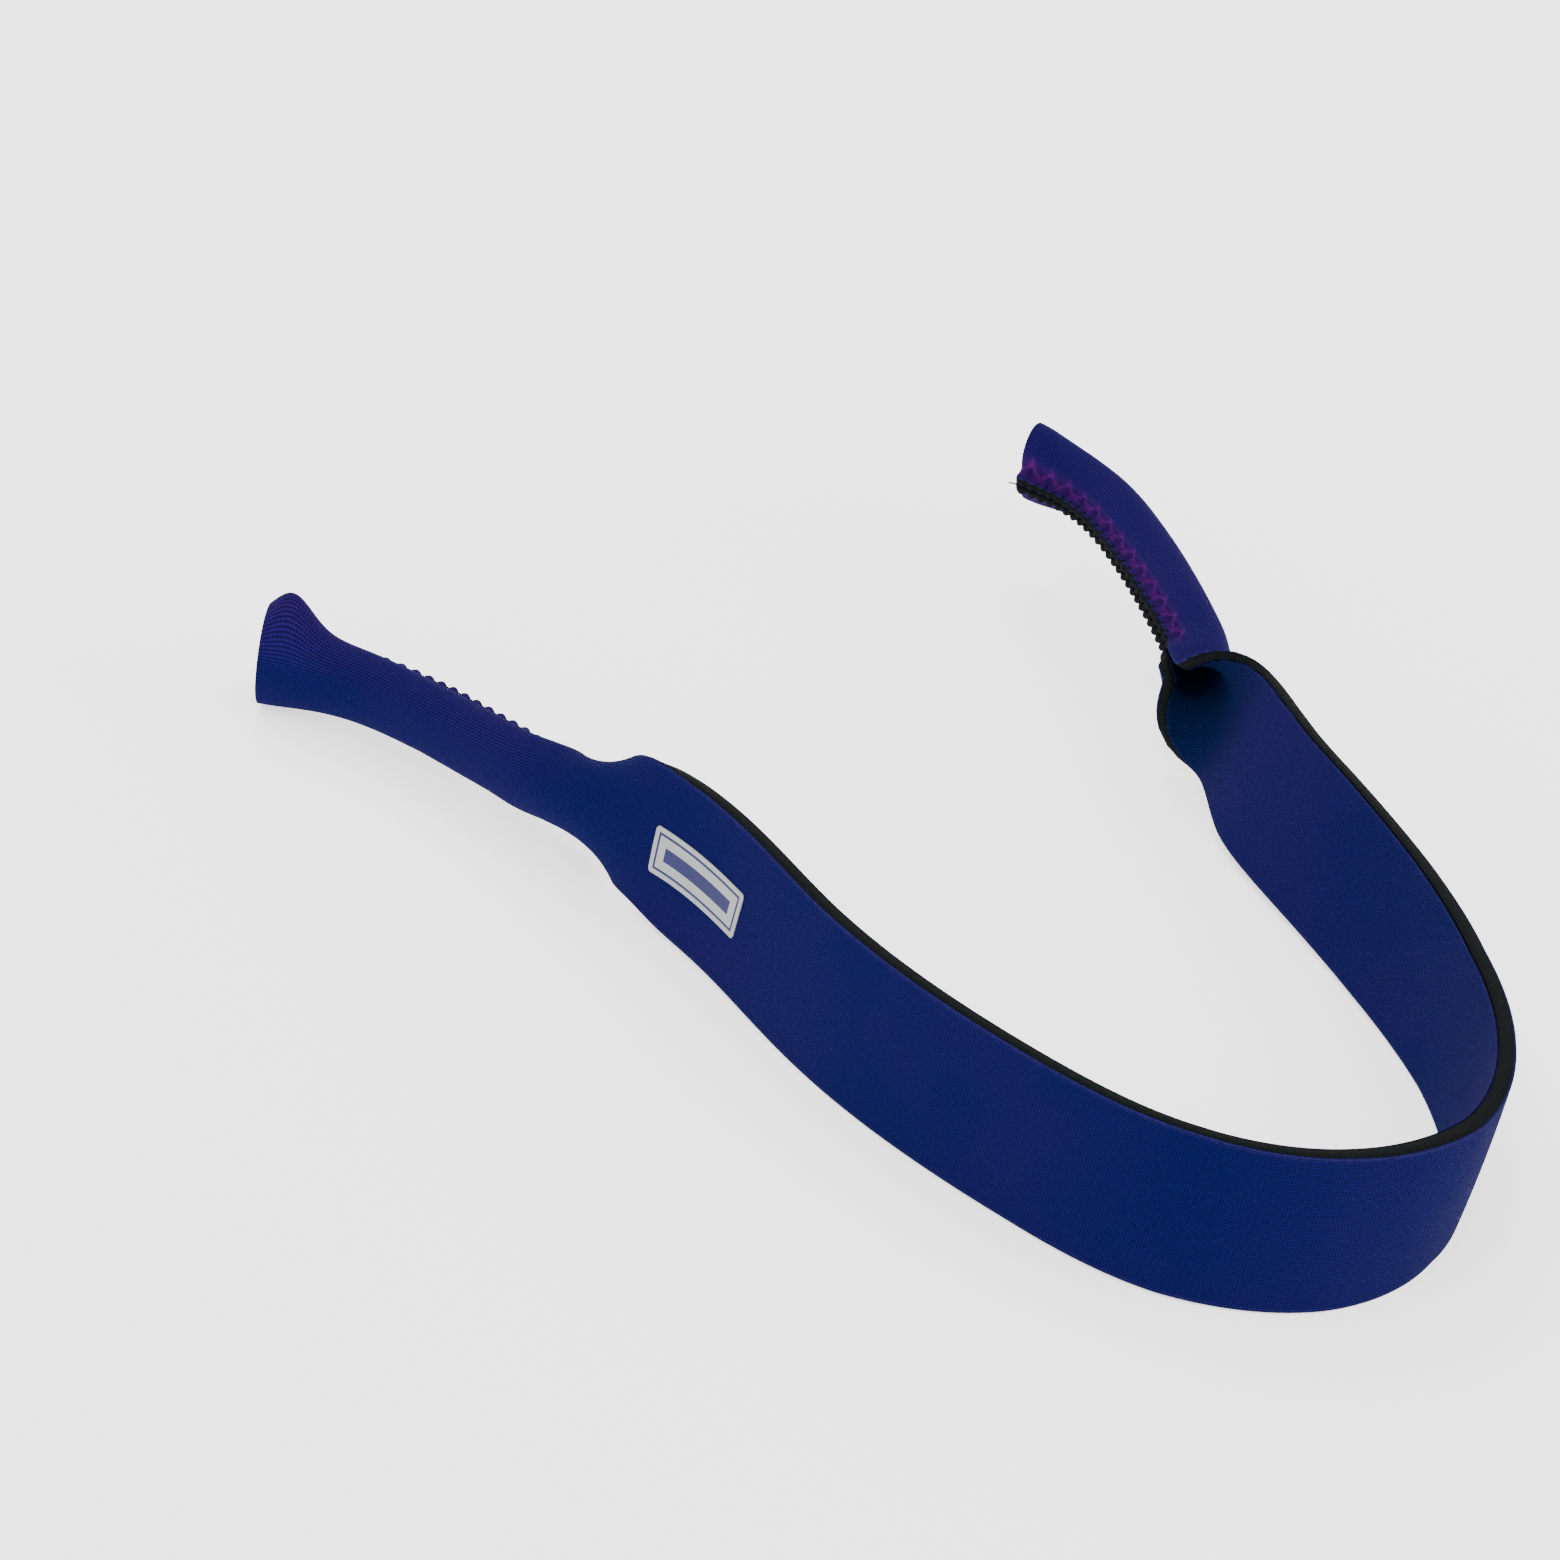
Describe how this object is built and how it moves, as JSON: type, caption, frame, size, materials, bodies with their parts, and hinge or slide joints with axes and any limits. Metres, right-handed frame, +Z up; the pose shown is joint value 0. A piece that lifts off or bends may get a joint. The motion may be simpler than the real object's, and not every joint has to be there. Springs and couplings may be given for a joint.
{
  "type": "eyewear retainer strap",
  "caption": "Soft padded eyewear retainer strap: a flat band that loops behind the neck, with a sewn tapering sleeve at each end that grips a glasses temple.",
  "frame": {"origin": "middle of the footprint, at the surface that the band's lower edge stands on", "axes": "+Z up, along the band's width; +Y towards the glasses; the loop closes at -Y; -X is the left sleeve as seen by the wearer looking along +Y"},
  "size_m": [0.1457, 0.1796, 0.0254],
  "materials": {
    "jersey": "matt knitted nylon jersey, navy with a violet cast",
    "foam": "matt closed-cell foam, cut edge",
    "sewing_thread": "filament polyester thread, slight sheen",
    "label_print": "thin matt grey transfer film"
  },
  "bodies": {
    "band_left": {"band_left_foam": "foam", "band_left_outer_facing": "jersey", "band_left_inner_facing": "jersey"},
    "band_right": {"band_right_foam": "foam", "band_right_outer_facing": "jersey", "band_right_inner_facing": "jersey"},
    "left_sleeve": {"left_sleeve_foam": "foam", "left_sleeve_outer_facing": "jersey", "left_sleeve_inner_facing": "jersey", "left_needle_thread": "sewing_thread", "left_looper_thread": "sewing_thread", "label": "label_print"},
    "right_sleeve": {"right_sleeve_foam": "foam", "right_sleeve_outer_facing": "jersey", "right_sleeve_inner_facing": "jersey", "right_needle_thread": "sewing_thread", "right_looper_thread": "sewing_thread"}
  },
  "joints": [
    {"name": "left_neck_bend", "type": "hinge", "parent": "band_left", "child": "left_sleeve", "pos_m": [-0.0413, -0.00931, 0.01142], "axis": [0.1142, -0.0143, 0.9934], "range_deg": [-22, 40], "stiffness_Nm_per_rad": 0.02},
    {"name": "back_bend", "type": "hinge", "parent": "band_left", "child": "band_right", "pos_m": [0.00368, -0.0887, 0.0113], "axis": [0.0024, -0.0235, 0.9997], "range_deg": [-25, 14], "stiffness_Nm_per_rad": 0.04},
    {"name": "right_neck_bend", "type": "hinge", "parent": "band_right", "child": "right_sleeve", "pos_m": [0.04846, -0.0038, 0.01138], "axis": [0.2939, -0.0731, 0.953], "range_deg": [-40, 22], "stiffness_Nm_per_rad": 0.02}
  ]
}
